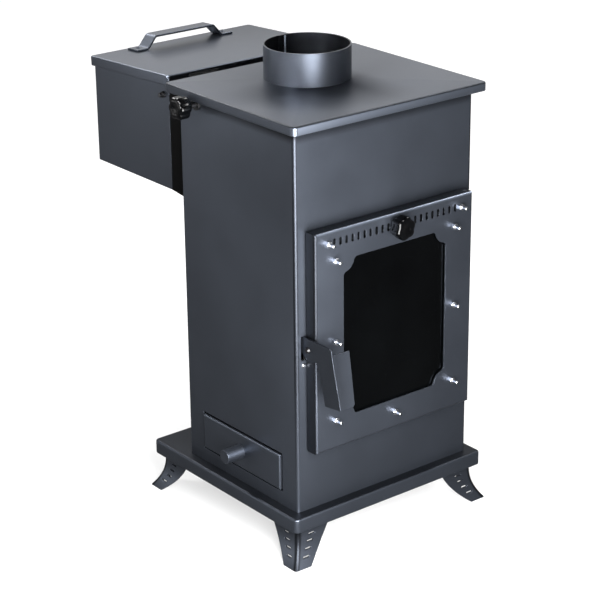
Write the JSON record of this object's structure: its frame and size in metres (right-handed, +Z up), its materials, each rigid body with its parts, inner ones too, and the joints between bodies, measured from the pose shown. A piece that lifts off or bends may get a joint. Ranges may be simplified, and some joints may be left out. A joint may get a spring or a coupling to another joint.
{
  "type": "mini pellet stove",
  "caption": "Small free-standing sheet-steel pellet stove with a glazed front door, a side ash drawer, a top flue collar and a lidded pellet hopper on its back",
  "frame": {"origin": "on the floor under the middle of the stove's overall box, which is taken with everything closed", "axes": "+X to the stove's right seen from the front (the ash drawer and the damper knob are on the -X side), +Y to the back, where the hopper is, +Z up"},
  "size_m": [0.3572, 0.5488, 0.653],
  "materials": {
    "dark_enamel": "satin anthracite stove paint with a slight metallic sparkle",
    "inner_steel": "matt heat-proof paint",
    "matt_black": "matt black paint",
    "zinc_steel": "bright zinc plate",
    "black_bolt": "black oxide, semi-gloss",
    "black_plastic": "glossy black moulded knob",
    "stove_glass": "clear heat-proof glass over a dark firebox",
    "seal_rope": "graphite glass-fibre rope and tape",
    "pot_iron": "rough cast iron"
  },
  "bodies": {
    "stove": {"casing": "dark_enamel", "rear_panel": "dark_enamel", "top_plate": "dark_enamel", "flue_collar": "dark_enamel", "base_plate": "dark_enamel", "leg_front_left": "dark_enamel", "leg_front_right": "dark_enamel", "leg_rear_left": "dark_enamel", "leg_rear_right": "dark_enamel", "ledge_strips": "inner_steel", "smoke_baffle": "inner_steel", "pot_shelf": "inner_steel", "feed_chute": "inner_steel", "drawer_rails": "inner_steel", "door_rope": "seal_rope", "hinge_lugs": "dark_enamel", "hinge_pins": "zinc_steel", "hinge_washer": "zinc_steel", "latch_strike": "zinc_steel", "strike_screw": "zinc_steel", "shaft_washers": "black_bolt", "neck": "matt_black", "hopper_shell": "dark_enamel", "hopper_floor": "inner_steel", "hopper_bolts": "black_bolt", "lid_hinge_fixed": "dark_enamel", "lid_hinge_pins": "zinc_steel"},
    "door": {"door_pan": "dark_enamel", "door_glass": "stove_glass", "glass_gasket": "seal_rope", "glass_frame": "inner_steel", "glass_studs": "zinc_steel", "glass_nuts": "zinc_steel", "slide_studs": "zinc_steel", "slide_nuts": "zinc_steel", "latch_bolt": "black_bolt", "latch_washer": "zinc_steel", "latch_nut": "zinc_steel"},
    "air_slide": {"air_slide": "inner_steel", "air_slide_nut": "zinc_steel"},
    "air_knob": {"air_knob": "black_plastic", "air_knob_stud": "zinc_steel"},
    "latch": {"latch_handle": "dark_enamel"},
    "ash_drawer": {"drawer_tray": "inner_steel", "drawer_front": "dark_enamel", "drawer_knob": "dark_enamel", "drawer_screw": "zinc_steel"},
    "lid": {"hopper_lid": "dark_enamel", "lid_strap": "dark_enamel", "lid_rivets": "dark_enamel", "lid_hinge_leaf": "dark_enamel"},
    "damper": {"damper_shaft": "black_bolt", "damper_flap": "inner_steel", "damper_knob": "black_plastic"},
    "burn_pot": {"burn_pot": "pot_iron"}
  },
  "joints": [
    {"name": "door_hinge", "type": "hinge", "parent": "stove", "child": "door", "pos_m": [0.1354, -0.20993, 0.312], "axis": [0, 0, 1], "range_deg": [0, 115]},
    {"name": "air_slide_travel", "type": "slide", "parent": "door", "child": "air_slide", "axis": [1, 0, 0], "range_m": [0, 0.005]},
    {"name": "air_knob_turn", "type": "hinge", "parent": "air_slide", "child": "air_knob", "pos_m": [0.0069, -0.22793, 0.4475], "axis": [0, -1, 0], "range_deg": [0, 180]},
    {"name": "latch_pivot", "type": "hinge", "parent": "door", "child": "latch", "pos_m": [-0.1311, -0.20943, 0.307], "axis": [-1, 0, 0], "range_deg": [0, 30]},
    {"name": "ash_drawer_slide", "type": "slide", "parent": "stove", "child": "ash_drawer", "axis": [-1, 0, 0], "range_m": [0, 0.2]},
    {"name": "lid_hinge", "type": "hinge", "parent": "stove", "child": "lid", "pos_m": [0.0069, 0.07957, 0.594], "axis": [1, 0, 0], "range_deg": [0, 100]},
    {"name": "damper_turn", "type": "hinge", "parent": "stove", "child": "damper", "pos_m": [0.0069, 0.00507, 0.588], "axis": [-1, 0, 0], "range_deg": [0, 85]},
    {"name": "burn_pot_lift", "type": "slide", "parent": "stove", "child": "burn_pot", "axis": [0, 0, 1], "range_m": [0, 0.08]}
  ]
}
